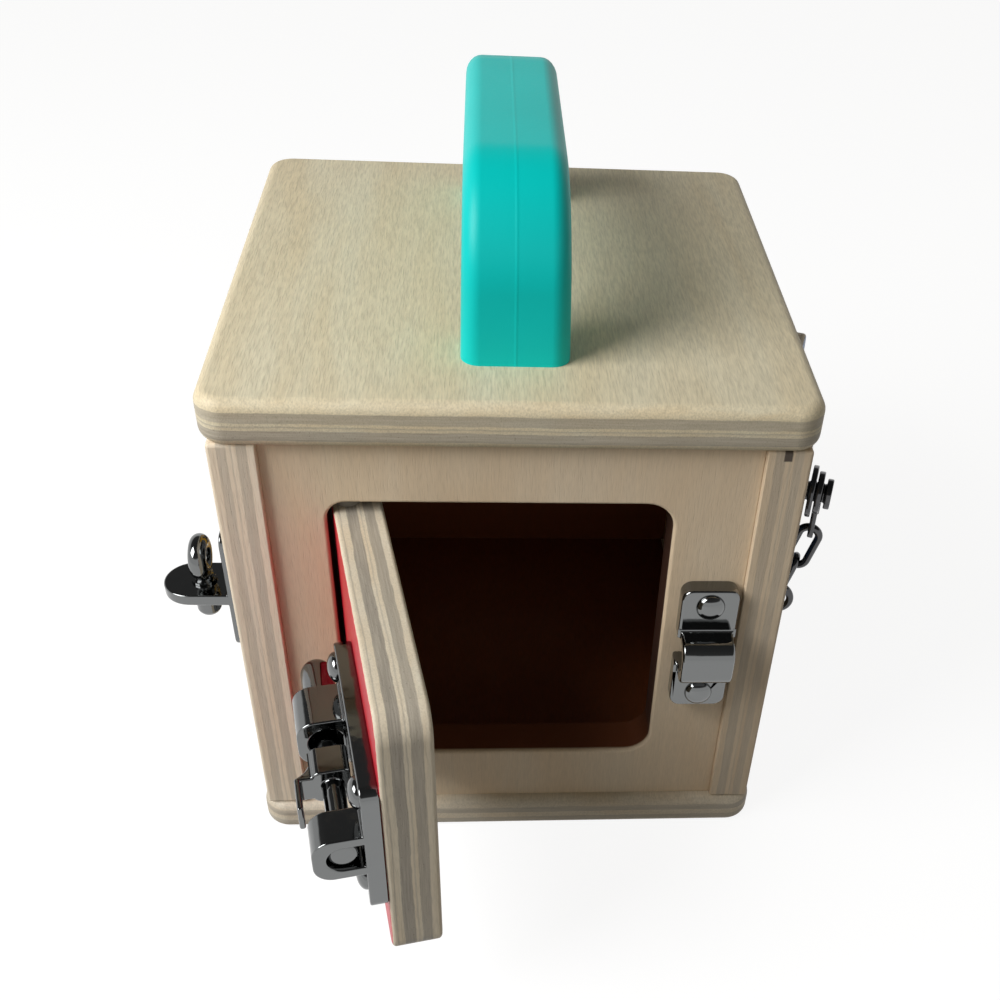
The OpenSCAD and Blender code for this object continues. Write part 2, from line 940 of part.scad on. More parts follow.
module staple_screws() {
  color(chrome)
    for (s = [-1, 1])
      on_face(LEFT, staple_x, staple_z + s * staple_screw_y) {
        translate([0, 0, staple_t - flat_head_h])
          cylinder(d1 = screw_d, d2 = flat_head_d, h = flat_head_h);
        translate([0, 0, -screw_hold + 0.5])
          cylinder(d = screw_d, h = screw_hold - 0.5 + staple_t - flat_head_h);
      }
}

// The eye turns about an upright axis; its ring lies along the fork when unlocked.
module swivel_eye() {
  color(chrome)
    on_side(LEFT)
      translate([staple_x, -face(LEFT) - eye_out, 0]) {
        translate([0, 0, lug_top - lug_t - run])
          cylinder(d = eye_neck_d, h = lug_t + run + eye_up - eye_d + 1);
        translate([0, 0, lug_top + run])
          cylinder(d = collar_d, h = collar_h);
        translate([0, 0, lug_top + eye_up - eye_d / 2])
          rotate([90, 0, 0])
            wire_ring(eye_d, eye_wire);
        translate([0, 0, lug_top - lug_t - run])
          mirror([0, 0, 1]) {
            cylinder(d = eye_nut_d, h = eye_nut_h);
            translate([0, 0, eye_nut_h])
              dome(eye_nut_d, eye_nut_dome);
          }
      }
}

// The arm swings in the wall's plane about a stiff rivet on the door. At rest it points away
// from the eye.
hasp_x = staple_x - arm_l;
hasp_z = lug_top + room + arm_h / 2;
hasp_screw_y = 11.5;
hasp_plate_end = 5.5;
hasp_plate_w = 12;
hasp_plate_t = 3;
boss_d = 10.4;
boss_top = staple_t + door_recess + room;
rivet_d = 5;
rivet_head_d = 9;
rivet_head_h = 2.2;
rivet_foot = 1;
arm_out = boss_top + run;
arm_top = arm_out + arm_t;
arm_tip = arm_l + eye_d / 2;
web_w = 3;
web_to = arm_l - eye_d / 2 - 2;
web_from = web_to - web_w;
fork_mid = eye_out + door_recess;
prong_w = 3;
prong_out = fork_mid + fork_w / 2;
ear_t = 1.8;

module hasp_pivot_plate() {
  color(chrome)
    on_door_face(LEFT, hasp_x, hasp_z)
      difference() {
        union() {
          linear_extrude(hasp_plate_t)
            rounded_rect(hasp_plate_w, 2 * (hasp_screw_y + hasp_plate_end), plate_r);
          cylinder(d = boss_d, h = boss_top);
        }
        translate([0, 0, rivet_foot])
          cylinder(d = rivet_d + 2 * press, h = boss_top);
        for (y = [-1, 1])
          translate([0, y * hasp_screw_y, -1])
            cylinder(d = screw_d + 2 * run, h = hasp_plate_t + 2);
      }
}

module hasp_plate_screws() {
  color(chrome)
    for (y = [-1, 1])
      on_door_face(LEFT, hasp_x, hasp_z + y * hasp_screw_y)
        translate([0, 0, hasp_plate_t])
          wood_screw(hasp_plate_t + screw_hold - 0.5);
}

module hasp_rivet() {
  color(chrome)
    on_door_face(LEFT, hasp_x, hasp_z) {
      translate([0, 0, rivet_foot + press])
        cylinder(d = rivet_d, h = arm_top + run - rivet_foot - press);
      translate([0, 0, arm_top + run])
        dome(rivet_head_d, rivet_head_h);
    }
}

// The arm is drawn pointing along +x, as when it is latched, and turned half round.
module hasp_arm() {
  color(chrome)
    on_door_face(LEFT, hasp_x, hasp_z)
      rotate([0, 0, 180])
        difference() {
          union() {
            translate([0, 0, arm_out])
              linear_extrude(arm_t) {
                circle(d = boss_d);
                translate([0, -arm_h / 2])
                  square([web_to, arm_h]);
                translate([0, -arm_h / 2])
                  square([arm_tip, ear_t]);
              }
            translate([web_from, -arm_h / 2, arm_top - 1])
              cube([web_to - web_from, ear_t, prong_out + prong_w - arm_top + 1]);
            translate([web_from, -arm_h / 2, prong_out])
              cube([arm_tip - web_from - prong_w / 2, ear_t, prong_w]);
            translate([arm_tip - prong_w / 2, -arm_h / 2, prong_out + prong_w / 2])
              rotate([-90, 0, 0])
                cylinder(d = prong_w, h = ear_t);
          }
          translate([0, 0, arm_out - 1])
            cylinder(d = rivet_d + 2 * run, h = arm_t + 2);
        }
}

// Chain lock, on the right door: a slider runs in a track; links and a ring hang from its ear.

track_shift = 1.5;
track_x = slider_at + pivot_x(RIGHT) + track_shift;
track_z = latch_z + track_up;
track_end = 9;
channel_l = track_l - 2 * track_end;
channel_wall = 2;
track_screw_x = track_l / 2 - track_end / 2;
track_plate_t = 2.5;
shoe_d = track_h - 4.6;
lip_t = 2;
shoe_h = track_out - lip_t - track_plate_t - 2 * run;
slider_neck_d = 5.8;
foot_low = track_out + 1.8;
foot_t = 1.7;
button_t = 1.9;
button_low = foot_low + foot_t + 0.4;
cap_d = 9.4;
cap_low = button_low + button_t + 1;
cap_t = 1.9;
chain_ear_t = 1.8;
ear_r = 3.2;
ear_hole_d = link_wire + 1.4;
ear_down = track_h / 2 + 5.3;
chain_out = button_low + chain_ear_t / 2;
link_mid_r = (link_gap + link_wire) / 2;
link_run = link_pitch - link_gap;
link_play = 0.15;
link_off = 0.35;
link_step = link_pitch - link_play;
link_first = -link_mid_r + 0.1;

module chain_track() {
  color(chrome)
    on_door_face(RIGHT, track_x, track_z)
      difference() {
        union() {
          linear_extrude(track_plate_t)
            rounded_rect(track_l, track_h, plate_r);
          translate([-channel_l / 2, -track_h / 2, 0])
            cube([channel_l, track_h, track_out]);
        }
        translate([-channel_l / 2 + channel_wall, -shoe_d / 2 - run, track_plate_t])
          cube([channel_l - 2 * channel_wall, shoe_d + 2 * run, track_out - lip_t - track_plate_t]);
        translate([-channel_l / 2 + channel_wall, -slider_neck_d / 2 - run, track_out - lip_t - 1])
          cube([channel_l - 2 * channel_wall, slider_neck_d + 2 * run, lip_t + 2]);
        for (s = [-1, 1])
          translate([s * track_screw_x, 0, -1])
            cylinder(d = screw_d + 2 * run, h = track_plate_t + 2);
      }
}

module track_screws() {
  color(chrome)
    for (s = [-1, 1])
      on_door_face(RIGHT, track_x + s * track_screw_x, track_z)
        translate([0, 0, track_plate_t])
          wood_screw(track_plate_t + screw_hold - 0.5);
}

// A spot at the slider's middle on the right door.
module at_slider() {
  on_door_face(RIGHT, pivot_x(RIGHT) + slider_at, track_z)
    children();
}

module chain_slider() {
  color(chrome)
    at_slider()
      difference() {
        union() {
          translate([0, 0, track_plate_t + run])
            cylinder(d = shoe_d, h = shoe_h);
          translate([0, 0, track_plate_t + run])
            cylinder(d = slider_neck_d, h = cap_low - track_plate_t);
          translate([0, 0, foot_low])
            cylinder(d = foot_d, h = foot_t);
          translate([0, 0, button_low])
            cylinder(d = button_d, h = button_t);
          translate([0, 0, button_low])
            linear_extrude(chain_ear_t) {
              translate([-ear_r, -ear_down])
                square([2 * ear_r, ear_down]);
              translate([0, -ear_down])
                circle(ear_r);
            }
          translate([0, 0, cap_low])
            cylinder(d = cap_d, h = cap_t);
        }
        translate([0, -ear_down, button_low - 1])
          cylinder(d = ear_hole_d, h = button_t + 2);
      }
}

// A link of round wire, drawn in its own plane with its length along y, middle of its upper
// bend at the origin.
module link_shape() {
  for (s = [-1, 1])
    translate([s * link_mid_r, 0, 0])
      rotate([90, 0, 0])
        cylinder(d = link_wire, h = link_run);
  rotate_extrude(angle = 180)
    translate([link_mid_r, 0])
      circle(d = link_wire);
  translate([0, -link_run, 0])
    rotate([0, 0, 180])
      rotate_extrude(angle = 180)
        translate([link_mid_r, 0])
          circle(d = link_wire);
}

// The chain's own frame: it hangs from the slider's ear and leans towards the door.
module at_chain() {
  at_slider()
    translate([0, -ear_down, chain_out])
      rotate([chain_lean, 0, 0])
        translate([0, 0, link_off])
          children();
}

// Link number k from the slider down; every second one lies flat.
module chain_link(k) {
  at_chain()
    translate([0, link_first - (k - 1) * link_step, 0])
      rotate([0, k % 2 == 1 ? 90 : 0, 0])
        link_shape();
}

module chain_link_1() {
  color(chrome)
    chain_link(1);
}

module chain_link_2() {
  color(chrome)
    chain_link(2);
}

module chain_ring() {
  color(chrome)
    at_chain()
      translate([0, link_first - 2 * link_step + link_mid_r - ring_d / 2 + link_wire / 2, 0])
        rotate([0, 90, 0])
          wire_ring(ring_d, link_wire);
}

// Headed peg on the latch stile, for the ring.
peg_x = open_x1(RIGHT) + 9;
peg_foot_d = 14;
peg_foot_h = 2;
peg_d = 4;
peg_head_d = 6.2;
peg_out = chain_out - door_recess - link_wire / 2 - 0.8;

module chain_peg() {
  color(chrome)
    on_face(RIGHT, peg_x, track_z) {
      cylinder(d = peg_foot_d, h = peg_foot_h);
      cylinder(d = peg_d, h = peg_out - 1);
      translate([0, 0, peg_out - 2])
        cylinder(d = peg_head_d, h = 2);
      translate([0, 0, -screw_hold + 0.5])
        cylinder(d = screw_d, h = screw_hold);
    }
}

// Turn button on the back wall's latch stile; at rest it hangs down, clear of the door.

turn_x = open_x1(BACK) + turn_w / 2 + 2;
turn_washer_d = 12;
turn_washer_t = 1.5;
turn_tail = 7;
turn_knob_d = 6;
turn_knob_h = 4;

module turn_button() {
  color(chrome)
    on_face(BACK, turn_x, latch_z)
      translate([0, 0, turn_washer_t + run])
        rotate([0, 0, 180])
          difference() {
            union() {
              linear_extrude(turn_t) {
                translate([-turn_w / 2, -turn_tail + turn_w / 2])
                  square([turn_w, turn_l + turn_tail - turn_w]);
                translate([0, -turn_tail + turn_w / 2])
                  circle(d = turn_w);
                translate([0, turn_l - turn_w / 2])
                  circle(d = turn_w);
              }
              translate([0, turn_l - turn_w / 2, turn_t - 1])
                cylinder(d = turn_knob_d, h = turn_knob_h + 1);
            }
            translate([0, 0, -1])
              cylinder(d = screw_d + 2 * run, h = turn_t + 2);
          }
}

module turn_washer() {
  color(steel)
    on_face(BACK, turn_x, latch_z)
      difference() {
        cylinder(d = turn_washer_d, h = turn_washer_t);
        translate([0, 0, -1])
          cylinder(d = screw_d + 2 * run, h = turn_washer_t + 2);
      }
}

module turn_screw() {
  color(steel)
    on_face(BACK, turn_x, latch_z)
      translate([0, 0, turn_washer_t + turn_t + 2 * run])
        wood_screw(turn_washer_t + turn_t + 2 * run + screw_hold - 0.5);
}

base_plate();
top_plate();
left_wall();
right_wall();
front_wall();
back_wall();
base_dowels();
top_dowels();
handle();
handle_screws();
front_door();
front_door_pins();
front_door_washers();
bolt_plate();
bolt_rod();
bolt_screws();
bolt_keeper();
keeper_screws();
left_door();
left_door_pins();
left_door_washers();
hasp_staple();
staple_screws();
swivel_eye();
hasp_pivot_plate();
hasp_plate_screws();
hasp_rivet();
hasp_arm();
right_door();
right_door_pins();
right_door_washers();
chain_track();
track_screws();
chain_slider();
chain_link_1();
chain_link_2();
chain_ring();
chain_peg();
back_door();
back_door_pins();
back_door_washers();
turn_button();
turn_washer();
turn_screw();
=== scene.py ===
import json
import math

import bmesh
import bpy
from mathutils import Euler, Matrix, Vector


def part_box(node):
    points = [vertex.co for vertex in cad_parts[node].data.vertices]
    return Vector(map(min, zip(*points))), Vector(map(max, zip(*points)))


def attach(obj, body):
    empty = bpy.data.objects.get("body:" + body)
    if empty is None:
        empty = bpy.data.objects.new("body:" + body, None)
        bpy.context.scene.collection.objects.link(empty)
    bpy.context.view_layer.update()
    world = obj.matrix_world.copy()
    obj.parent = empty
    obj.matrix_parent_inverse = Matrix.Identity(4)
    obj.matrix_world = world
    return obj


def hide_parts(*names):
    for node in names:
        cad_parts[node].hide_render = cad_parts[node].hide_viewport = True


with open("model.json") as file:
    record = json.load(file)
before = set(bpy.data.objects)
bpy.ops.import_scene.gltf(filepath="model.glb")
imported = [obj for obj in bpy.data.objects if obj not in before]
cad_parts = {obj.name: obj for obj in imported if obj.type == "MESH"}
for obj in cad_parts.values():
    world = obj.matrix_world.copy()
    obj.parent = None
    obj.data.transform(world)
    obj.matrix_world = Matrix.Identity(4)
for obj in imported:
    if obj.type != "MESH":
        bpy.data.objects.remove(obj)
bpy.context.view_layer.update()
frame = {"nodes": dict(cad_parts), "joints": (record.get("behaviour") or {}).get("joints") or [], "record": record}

NODES = frame["nodes"]
BODIES = frame["record"]["behaviour"]["bodies"]
BODY_OF = {node: body for body, members in BODIES.items() for node in members}
JOINTS = {joint["name"]: joint for joint in frame["joints"]}

MM = 0.001
SIDES = ("front", "left", "back", "right")
PANELS = ("front", "back")

# Camera, in the photograph's square frame: place in mm, angles in degrees, lengths in pixels
IMAGE = 1000
CAMERA_PLACE = (-6.33, -312.67, 286.46)
CAMERA_HEADING = 7.099
CAMERA_DIP = 41.457
CAMERA_ROLL = 4.547
FOCAL_LENGTH = 1236.4
PRINCIPAL_POINT = (604.3, 644.0)
SENSOR = 36

# Box, in mm, from the frame
BOX_HALF_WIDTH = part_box("right_wall")[1].x / MM
BOX_HALF_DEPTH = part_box("right_wall")[1].y / MM
WALL_HALF_HEIGHT = (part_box("right_wall")[1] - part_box("right_wall")[0]).z / MM / 2

# Doorways, in mm, seen from outside
HINGE_STILE = 25.0
LATCH_STILE = 31.0
SILL = 18.0
DOORWAY_HEIGHT = 86.0
HINGE_RADIUS = 5.0
LATCH_RADIUS = 7.0

# Eased arrises of the boards, in mm; panels are the front and the back wall, and a wall's corners are
# rounded by a little more than its rim is eased
PANEL_RIM_EASE = 0.25
SIDE_RIM_EASE = 0.9
CORNER_SPARE = 0.1
DOORWAY_EASE = 0.9
INNER_EASE = 0.3
DOOR_EASE = 1.0

# Doors, in mm, from the left one, which rests closed: play is the sum of the gaps at both sides, and
# the pivot lies so far in from the left edge
DOOR_HEIGHT = (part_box("left_door")[1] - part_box("left_door")[0]).z / MM
DOOR_THICKNESS = (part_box("left_door")[1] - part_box("left_door")[0]).x / MM
DOOR_PLAY = 2.1
DOOR_HINGE_RADIUS = 4.0
PIVOT_IN = 4.0
PAINT_DEPTH = 0.2
THIN_PAINT_DEPTH = 0.12

# Plies of each board from its inner to its outer face: thickness in mm and darkness from 0 to 1
PLATE_PLIES = ((2.2, 0.15), (2.6, 0.8), (0.7, 0.2), (0.4, 0.55), (0.7, 0.1), (2.6, 0.6), (2.8, 0.0))
BASE_PLIES = ((2.0, 0.1), (2.0, 0.6), (2.0, 0.15), (2.0, 0.7), (2.0, 0.3))
SIDE_PLIES = ((1.9, 0.1), (2.5, 0.55), (0.9, 0.1), (0.4, 0.35), (0.8, 0.15), (2.2, 0.5), (2.3, 0.15))
PANEL_PLIES = ((2.4, 0.0), (2.3, 0.7), (2.1, 0.0), (2.3, 0.7), (2.4, 0.0))
DOOR_PLIES = ((2.3, 0.0), (2.5, 0.8), (0.7, 0.0), (0.3, 0.4), (0.6, 0.0), (2.6, 0.95), (1.4, 0.0),
              (0.3, 0.6), (1.3, 0.05))
PLY_BLUR = 0.11
PLY_WANDER = 1.0
PLY_RAGGED = 0.7

# Painted shade inside the box, in mm: half the span that it covers on each kind of board, how deep it
# reaches into the board, and the doorways' own faces, which get painted shade behind the front arris, darkest away
# from the sill
PLATE_INSIDE = 58.0
PANEL_INSIDE = 59.0
SIDE_INSIDE = 56.8
INSIDE_HEIGHT = 200.0
INSIDE_SKIN = 0.05
REVEAL_START = 0.9
REVEAL_FULL = 1.6
REVEAL_SIDE = 1.2
REVEAL_END = 0.6
SILL_FADE = 8.0
SILL_LIGHT = (0.65, 0.15)

# Mould line of the handle, in mm: its height, and half its width at the foot and at the crest
PARTING_HEIGHT = 0.08
PARTING_FOOT = 0.5
PARTING_CREST = 0.05

# Middle of a hollow in the core at the top of the right wall's front edge, in the wall's frame; the hollow is not
# cut, and its shade is painted as a dark patch
CORE_VOID = (-70.5, 59.2, -0.6)
VOID_REACH = (5.0, 1.5, 1.0)
VOID_BLUR = 0.15

# Colours, linear
PLATE_TONE = (0.685, 0.615, 0.445)
WALL_TONE = (0.66, 0.545, 0.40)
# Left wall: the wall tone made lighter, painted light on the side towards the window
LEFT_WALL_PAINTED_LIGHT = (0.86, 0.76, 0.61)
EDGE_TONE = (0.67, 0.60, 0.475)
DARK_PLY_TONE = (0.32, 0.285, 0.235)
# Painted shade of the inside of the box and of the doorways' own faces
INSIDE_PAINTED_SHADE = (0.19, 0.048, 0.009)
# Painted shade of the hollow in the right wall's core
VOID_PAINTED_SHADE = (0.040, 0.026, 0.015)
RED = (0.50, 0.011, 0.025)
YELLOW = (0.78, 0.42, 0.045)
BLUE = (0.030, 0.12, 0.30)
GREEN = (0.085, 0.27, 0.095)
TEAL = (0.0, 0.56, 0.53)
CHROME = (0.185, 0.19, 0.19)
# Chain: the chrome darkened, painted shade
CHAIN_PAINTED_SHADE_CHROME = (0.085, 0.085, 0.088)
STEEL = (0.40, 0.40, 0.41)
# Washers: natural nylon darkened, painted shade
NYLON_PAINTED_SHADE = (0.30, 0.28, 0.25)
BEECH = (0.50, 0.34, 0.20)
FLOOR = (0.17, 0.17, 0.17)
DOOR_PAINT = {"front": RED, "left": YELLOW, "back": GREEN, "right": BLUE}

# Clean-up of a solid's mesh and its arrises: distance in mm, angles in degrees
MERGE_DISTANCE = 0.002
FLAT_ANGLE = 0.4
CORNER_ANGLE = 40
SMOOTH_ANGLE = 35
EASE_SEGMENTS = 3

# Plated latches: the ease of each casting's arrises in mm
HARDWARE = {
    "bolt_plate": 0.5, "bolt_rod": 0.5, "bolt_keeper": 0.8,
    "hasp_staple": 0.5, "staple_screws": 0.0, "swivel_eye": 0.0,
    "hasp_pivot_plate": 0.4, "hasp_rivet": 0.0, "hasp_arm": 0.4,
    "chain_track": 0.4, "chain_slider": 0.4, "chain_link_1": 0.0, "chain_link_2": 0.0,
    "chain_ring": 0.0, "chain_peg": 0.3, "turn_button": 0.5, "turn_washer": 0.2,
}
# Chain pieces, given painted shade that makes them darker than the castings
CHAIN = ("chain_slider", "chain_link_1", "chain_link_2", "chain_ring")
# Domed screws: the side on which each set is driven in, and whether that is into the door
SCREWS = {
    "bolt_screws": ("front", True), "keeper_screws": ("front", False), "hasp_plate_screws": ("left", True),
    "track_screws": ("right", True), "turn_screw": ("back", False),
}
SCREW_HEAD_HEIGHT = 2.2
HEAD_SEGMENTS = 48
HEAD_RINGS = 32

# Light, in metres and watts. Levels go from the horizon, 0, to straight up, 1: the room's light on the
# object, with a band of windows under a dim ceiling, and the background that the camera and the metal see
WINDOW_PLACE = (-0.52, -0.29, 0.55)
WINDOW_AIM = (0.0, 0.0, 0.09)
WINDOW_SIZE = 0.42
WINDOW_POWER = 6.1
ROOM_LIGHT = ((0.0, 0.15), (1.0, 0.06), (0.29, 0.15), (0.33, 1.15), (0.42, 1.15), (0.46, 0.10))
ROOM_TINT = (1.0, 0.95, 0.84)
BACKGROUND = ((0.0, 0.93), (1.0, 0.06), (0.36, 0.93), (0.46, 0.10))
BACKGROUND_TINT = (1.0, 1.0, 1.0)
FLOOR_HALF = 6.0
FLOOR_GLOW = 0.90


class Finish:
    """A node material under construction, with its surface shader ready."""

    def __init__(self, name):
        self.material = bpy.data.materials.new(name)
        self.material.use_nodes = True
        self.tree = self.material.node_tree
        self.tree.nodes.clear()
        self.surface = self.add("BsdfPrincipled")
        output = self.add("OutputMaterial")
        self.tree.links.new(self.surface.outputs["BSDF"], output.inputs["Surface"])

    def add(self, kind, inputs=None, **settings):
        """A node of that kind, with its settings, and its inputs joined or filled in."""
        node = self.tree.nodes.new("ShaderNode" + kind)
        for name, value in settings.items():
            setattr(node, name, value)
        for name, value in (inputs or {}).items():
            self.put(node.inputs[name], value)
        return node

    def put(self, socket, value):
        """Joins a socket to another one, or fills in its value."""
        if isinstance(value, bpy.types.NodeSocket):
            self.tree.links.new(value, socket)
        else:
            socket.default_value = value

    def set(self, **values):
        """Values or sockets for the surface shader."""
        for name, value in values.items():
            socket = self.surface.inputs[name.replace("_", " ")]
            self.put(socket, (*value, 1.0) if isinstance(value, tuple) else value)

    def math(self, operation, *terms):
        """The result of one operation on values or sockets."""
        node = self.add("Math", operation=operation)
        for socket, term in zip(node.inputs, terms):
            self.put(socket, term)
        return node.outputs[0]

    def point(self, place=(0, 0, 0), turn=(0, 0, 0)):
        """The surface point in a frame of the piece's own, in mm."""
        coordinate = self.add("TexCoord")
        mapping = self.add("Mapping", {"Vector": coordinate.outputs["Object"]}, vector_type="TEXTURE")
        mapping.inputs["Location"].default_value = place
        mapping.inputs["Rotation"].default_value = turn
        mapping.inputs["Scale"].default_value = (MM, MM, MM)
        return mapping.outputs["Vector"]

    def stretched(self, point, scale):
        """A point with each axis multiplied by its own scale."""
        node = self.add("VectorMath", operation="MULTIPLY")
        self.put(node.inputs[0], point)
        node.inputs[1].default_value = scale
        return node.outputs["Vector"]

    def noise(self, point, scale, seed=0.0, detail=2.0, roughness=0.5, distortion=0.0):
        """Noise from 0 to 1; scale is in waves per mm along the piece's three axes."""
        node = self.add("TexNoise", noise_dimensions="4D")
        self.put(node.inputs["Vector"], self.stretched(point, scale))
        node.inputs["W"].default_value = seed
        node.inputs["Scale"].default_value = 1.0
        node.inputs["Detail"].default_value = detail
        node.inputs["Roughness"].default_value = roughness
        node.inputs["Distortion"].default_value = distortion
        return node.outputs["Fac"]

    def spread(self, value, low, high, to_low=0.0, to_high=1.0):
        """Value carried from one range to another, held at its ends."""
        node = self.add("MapRange", interpolation_type="LINEAR", clamp=True)
        for socket, term in zip(node.inputs, (value, low, high, to_low, to_high)):
            self.put(socket, term)
        return node.outputs[0]

    def mix(self, factor, first, second):
        """A colour between two colours."""
        node = self.add("Mix", data_type="RGBA")
        for socket, term in zip((node.inputs[0], node.inputs[6], node.inputs[7]), (factor, first, second)):
            self.put(socket, (*term, 1.0) if isinstance(term, tuple) else term)
        return node.outputs[2]

    def shade(self, colour, factor):
        """A colour made lighter or darker by a factor."""
        node = self.add("VectorMath", operation="SCALE")
        self.put(node.inputs[0], colour)
        self.put(node.inputs["Scale"], factor)
        return node.outputs["Vector"]

    def bump(self, height, depth_mm, strength):
        """Relief of the surface from a height between 0 and 1."""
        node = self.add("Bump", {"Height": height})
        node.inputs["Distance"].default_value = depth_mm * MM
        node.inputs["Strength"].default_value = strength
        self.tree.links.new(node.outputs["Normal"], self.surface.inputs["Normal"])


def ply_ramp(finish, depth, plies):
    """1 inside the dark plies and 0 inside the light ones, from the depth through the board in mm."""
    thickness = sum(ply[0] for ply in plies)
    blur = PLY_BLUR / thickness
    ramp = finish.add("ValToRGB")
    ramp.color_ramp.interpolation = "LINEAR"
    stops = ramp.color_ramp.elements
    stops[0].position = 0.0
    stops[0].color = (plies[0][1],) * 3 + (1.0,)
    stops[1].position = 1.0
    stops[1].color = (plies[-1][1],) * 3 + (1.0,)
    reached = 0.0
    for ply, following in zip(plies, plies[1:]):
        reached += ply[0] / thickness
        for place, tone in ((reached - blur, ply[1]), (reached + blur, following[1])):
            stop = stops.new(place)
            stop.color = (tone, tone, tone, 1.0)
    share = finish.spread(depth, -thickness / 2, thickness / 2)
    finish.put(ramp.inputs["Fac"], share)
    return ramp.outputs["Color"]


def wavy_plies(finish, point, depth, plies, seed):
    """Darkness of the ply at each point; the plies wander a little and have ragged edges."""
    wander = finish.noise(point, (0.035, 0.035, 0.12), seed, detail=1.0)
    ragged = finish.noise(point, (0.22, 0.22, 1.2), seed + 5, detail=4.0, roughness=0.65)
    for wave, reach in ((wander, PLY_WANDER), (ragged, PLY_RAGGED)):
        shift = finish.math("MULTIPLY", finish.math("SUBTRACT", wave, 0.5), reach)
        depth = finish.math("ADD", depth, shift)
    return ply_ramp(finish, depth, plies)


def core_hollow(finish, axes, void):
    """1 inside a small hollow of the core, where its shade is painted, and 0 outside it."""
    hollow = 1.0
    for axis, centre, reach in zip(axes, void, VOID_REACH):
        away = finish.math("ABSOLUTE", finish.math("SUBTRACT", axis, centre))
        near = finish.spread(away, reach + VOID_BLUR, reach - VOID_BLUR)
        hollow = finish.math("MULTIPLY", hollow, near)
    return hollow


def doorway_reveal(finish, axes, thickness, colour):
    """The colour, with painted shade on the doorway's own faces, as dark as the inside and lightest at the sill.
    """
    across, along, depth = axes
    reveal = finish.spread(depth, thickness / 2 - REVEAL_START, thickness / 2 - REVEAL_FULL)
    sill_top = SILL - WALL_HALF_HEIGHT
    spans = (
        (across, HINGE_STILE - BOX_HALF_WIDTH - REVEAL_SIDE, BOX_HALF_WIDTH - LATCH_STILE + REVEAL_SIDE),
        (along, sill_top - REVEAL_END, sill_top + DOORWAY_HEIGHT + REVEAL_END),
    )
    for axis, least, most in spans:
        reveal = finish.math("MULTIPLY", reveal, finish.math("GREATER_THAN", axis, least))
        reveal = finish.math("MULTIPLY", reveal, finish.math("LESS_THAN", axis, most))
    light = finish.spread(along, sill_top, sill_top + SILL_FADE, *SILL_LIGHT)
    return finish.mix(reveal, colour, finish.shade(INSIDE_PAINTED_SHADE, light))


def facing_inside(finish, axes, thickness, inside):
    """1 on the part of a board's face that looks into the box, where shade is painted."""
    across, along, depth = axes
    side, half_width, half_length = inside
    level = finish.math("MULTIPLY", depth, float(side))
    within = finish.math("GREATER_THAN", level, thickness / 2 - INSIDE_SKIN)
    for axis, half in ((across, half_width), (along, half_length)):
        near = finish.math("LESS_THAN", finish.math("ABSOLUTE", axis), half)
        within = finish.math("MULTIPLY", within, near)
    return within


def paint_coat(finish, point, axes, thickness, seed):
    """1 where a door is painted: on its outer face and round its hinge edge."""
    across, along, depth = axes
    ragged = finish.noise(point, (0.5, 0.5, 0.5), seed + 17)
    limit = finish.spread(ragged, 0.3, 0.7, thickness / 2 - PAINT_DEPTH, thickness / 2 - THIN_PAINT_DEPTH)
    coat = finish.math("GREATER_THAN", depth, limit)
    past_pivot = finish.math("SUBTRACT", depth, thickness / 2 - PIVOT_IN)
    squares = (finish.math("MULTIPLY", across, across), finish.math("MULTIPLY", past_pivot, past_pivot))
    from_pivot = finish.math("SQRT", finish.math("ADD", *squares))
    hinge_edge = finish.math("GREATER_THAN", from_pivot, PIVOT_IN - PAINT_DEPTH)
    hinge_edge = finish.math("MULTIPLY", hinge_edge, finish.math("LESS_THAN", across, 0.0))
    hinge_edge = finish.math("MULTIPLY", hinge_edge, finish.math("GREATER_THAN", past_pivot, 0.0))
    return finish.math("MAXIMUM", coat, hinge_edge)


